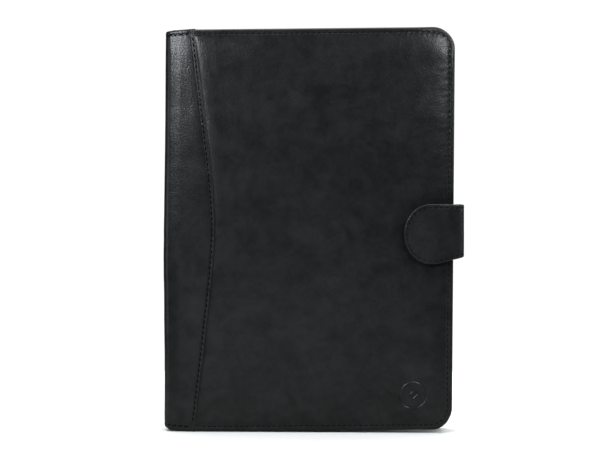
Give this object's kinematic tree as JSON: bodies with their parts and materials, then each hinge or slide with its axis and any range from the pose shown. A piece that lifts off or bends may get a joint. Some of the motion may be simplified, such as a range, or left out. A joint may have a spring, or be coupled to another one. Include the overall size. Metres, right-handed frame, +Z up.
{
  "type": "leather notebook cover",
  "caption": "Padded leather cover for an A5 notebook, with a curved spine overlay, stitched edges and a tab that wraps the fore-edge and snaps shut.",
  "frame": {"origin": "centre of the closed cover's footprint, on its bottom edge", "axes": "+Z up along the spine, +X from the spine to the fore-edge and tab, the front cover faces -Y"},
  "size_m": [0.172, 0.0306, 0.2325],
  "materials": {
    "cover_leather": "black, fine grain, soft semi-gloss",
    "spine_leather": "black, fine pebble grain, semi-gloss",
    "tab_leather": "black, fine grain, soft semi-gloss",
    "strap_lining": "black, smooth, matt",
    "thread": "black, twisted, waxed",
    "lining": "black, fine weave, matt",
    "pocket_leather": "black, smooth grain, matt",
    "padding": "grey foam",
    "board": "grey board, matt",
    "card": "card, matt",
    "paper": "off-white paper, matt",
    "binding_tape": "black book cloth",
    "snap_metal": "nickel-plated, satin"
  },
  "bodies": {
    "back_cover": {"back_leather": "cover_leather", "back_spine_flap": "spine_leather", "back_edge_stitching": "thread", "back_seam_stitching": "thread", "back_padding": "padding", "back_board": "board", "back_lining": "lining", "notebook_sleeve": "pocket_leather", "notebook_back_card": "card", "page_block": "paper", "notebook_binding_tape": "binding_tape", "strap_anchor": "tab_leather", "strap_anchor_lining": "strap_lining", "strap_anchor_stitching": "thread"},
    "spine": {"spine_leather": "spine_leather", "spine_board": "board", "spine_lining": "lining", "spine_edge_stitching": "thread"},
    "front_cover": {"front_leather": "cover_leather", "front_spine_flap": "spine_leather", "front_edge_stitching": "thread", "front_seam_stitching": "thread", "front_padding": "padding", "front_board": "board", "front_lining": "lining", "document_sleeve": "pocket_leather", "card_pocket_lower": "pocket_leather", "card_pocket_middle": "pocket_leather", "card_pocket_upper": "pocket_leather", "snap_socket": "snap_metal", "snap_socket_washer": "snap_metal"},
    "strap": {"strap_leather": "tab_leather", "strap_lining": "strap_lining", "strap_stitching": "thread"},
    "tab_head": {"tab_leather": "tab_leather", "tab_stiffener": "board", "tab_lining": "strap_lining", "tab_stitching": "thread", "snap_stud": "snap_metal", "snap_stud_washer": "snap_metal"}
  },
  "joints": [
    {"name": "spine_fold", "type": "hinge", "parent": "back_cover", "child": "spine", "pos_m": [-0.08525, 0.01325, 0.116], "axis": [0, 0, -1], "range_deg": [0, 90]},
    {"name": "front_fold", "type": "hinge", "parent": "spine", "child": "front_cover", "pos_m": [-0.08525, -0.01105, 0.116], "axis": [0, 0, -1], "range_deg": [0, 90]},
    {"name": "strap_fold", "type": "hinge", "parent": "back_cover", "child": "strap", "pos_m": [0.08514, 0.01444, 0.1144], "axis": [0, 0, 1], "range_deg": [0, 90]},
    {"name": "tab_fold", "type": "hinge", "parent": "strap", "child": "tab_head", "pos_m": [0.08514, -0.01444, 0.1144], "axis": [0, 0, 1], "range_deg": [0, 90]}
  ],
  "couplings": [
    {"joint": "front_fold", "follows": "spine_fold", "ratio": 1},
    {"joint": "tab_fold", "follows": "strap_fold", "ratio": 1}
  ]
}
